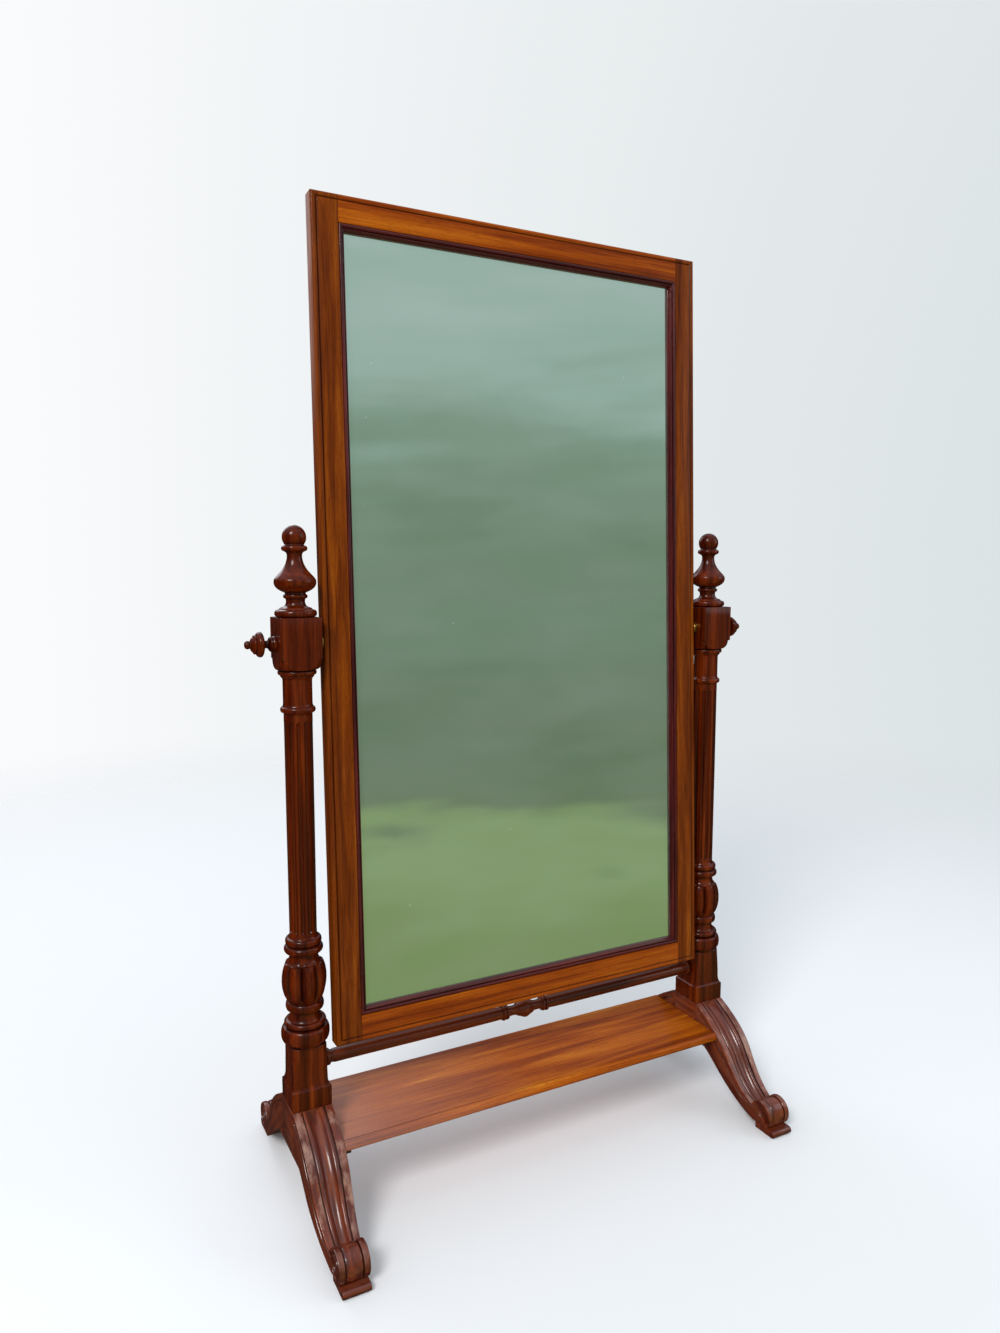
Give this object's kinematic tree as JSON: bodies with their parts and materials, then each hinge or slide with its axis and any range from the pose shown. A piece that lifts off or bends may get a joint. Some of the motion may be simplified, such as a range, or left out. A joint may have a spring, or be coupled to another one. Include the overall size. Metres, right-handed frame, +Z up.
{
  "type": "cheval floor mirror",
  "caption": "Tall framed floor mirror that tilts between two turned posts on scrolled legs, with a low shelf and a turned stretcher.",
  "frame": {"origin": "on the floor, midway between the two posts and midway between front and rear feet", "axes": "+Z up; +X to the right as seen from in front of the glass; the glass faces -Y"},
  "size_m": [0.958, 0.48, 1.5799],
  "materials": {
    "turned_mahogany": "turned, dark red-brown, high French polish",
    "carved_mahogany": "carved, reddish brown, worn French polish",
    "frame_mahogany": "planed, orange-brown, French polished",
    "dark_bead": "dark red stained moulding, glossy",
    "shelf_mahogany": "orange-brown board with dark streaks, polished",
    "pine": "bare aged softwood",
    "beech": "bare hardwood",
    "brass": "aged, satin",
    "steel": "dull, unplated",
    "silvered_glass": "silvered plate glass, slightly hazy with age"
  },
  "bodies": {
    "stand": {"left_post": "turned_mahogany", "left_finial": "turned_mahogany", "left_base_block": "carved_mahogany", "left_front_leg": "carved_mahogany", "left_front_foot_pad": "carved_mahogany", "left_front_lower_dowel": "beech", "left_front_upper_dowel": "beech", "left_front_cleat_screw": "steel", "left_rear_leg": "carved_mahogany", "left_rear_foot_pad": "carved_mahogany", "left_rear_lower_dowel": "beech", "left_rear_upper_dowel": "beech", "left_rear_cleat_screw": "steel", "left_shelf_cleat": "beech", "left_pivot_bush": "brass", "right_post": "turned_mahogany", "right_finial": "turned_mahogany", "right_base_block": "carved_mahogany", "right_front_leg": "carved_mahogany", "right_front_foot_pad": "carved_mahogany", "right_front_lower_dowel": "beech", "right_front_upper_dowel": "beech", "right_front_cleat_screw": "steel", "right_rear_leg": "carved_mahogany", "right_rear_foot_pad": "carved_mahogany", "right_rear_lower_dowel": "beech", "right_rear_upper_dowel": "beech", "right_rear_cleat_screw": "steel", "right_shelf_cleat": "beech", "right_pivot_bush": "brass", "stretcher_rail": "turned_mahogany", "shelf": "shelf_mahogany"},
    "mirror_frame": {"top_rail": "frame_mahogany", "top_bead": "dark_bead", "bottom_rail": "frame_mahogany", "bottom_bead": "dark_bead", "left_stile": "frame_mahogany", "left_bead": "dark_bead", "left_pivot_plate": "brass", "left_lower_plate_screw": "brass", "left_upper_plate_screw": "brass", "right_stile": "frame_mahogany", "right_bead": "dark_bead", "right_pivot_plate": "brass", "right_lower_plate_screw": "brass", "right_upper_plate_screw": "brass", "mirror_plate": "silvered_glass", "left_backboard": "pine", "left_top_back_screw": "brass", "left_bottom_back_screw": "brass", "middle_backboard": "pine", "middle_top_back_screw": "brass", "middle_bottom_back_screw": "brass", "right_backboard": "pine", "right_top_back_screw": "brass", "right_bottom_back_screw": "brass"},
    "left_knob": {"left_knob": "turned_mahogany", "left_knob_screw": "steel"},
    "right_knob": {"right_knob": "turned_mahogany", "right_knob_screw": "steel"}
  },
  "joints": [
    {"name": "mirror_swing", "type": "hinge", "parent": "stand", "child": "mirror_frame", "pos_m": [0, 0, 0.905], "axis": [-1, 0, 0], "range_deg": [-170, 170]},
    {"name": "left_knob_turn", "type": "hinge", "parent": "stand", "child": "left_knob", "pos_m": [-0.432, 0, 0.905], "axis": [-1, 0, 0], "range_deg": [0, 360]},
    {"name": "right_knob_turn", "type": "hinge", "parent": "stand", "child": "right_knob", "pos_m": [0.432, 0, 0.905], "axis": [1, 0, 0], "range_deg": [0, 360]}
  ]
}
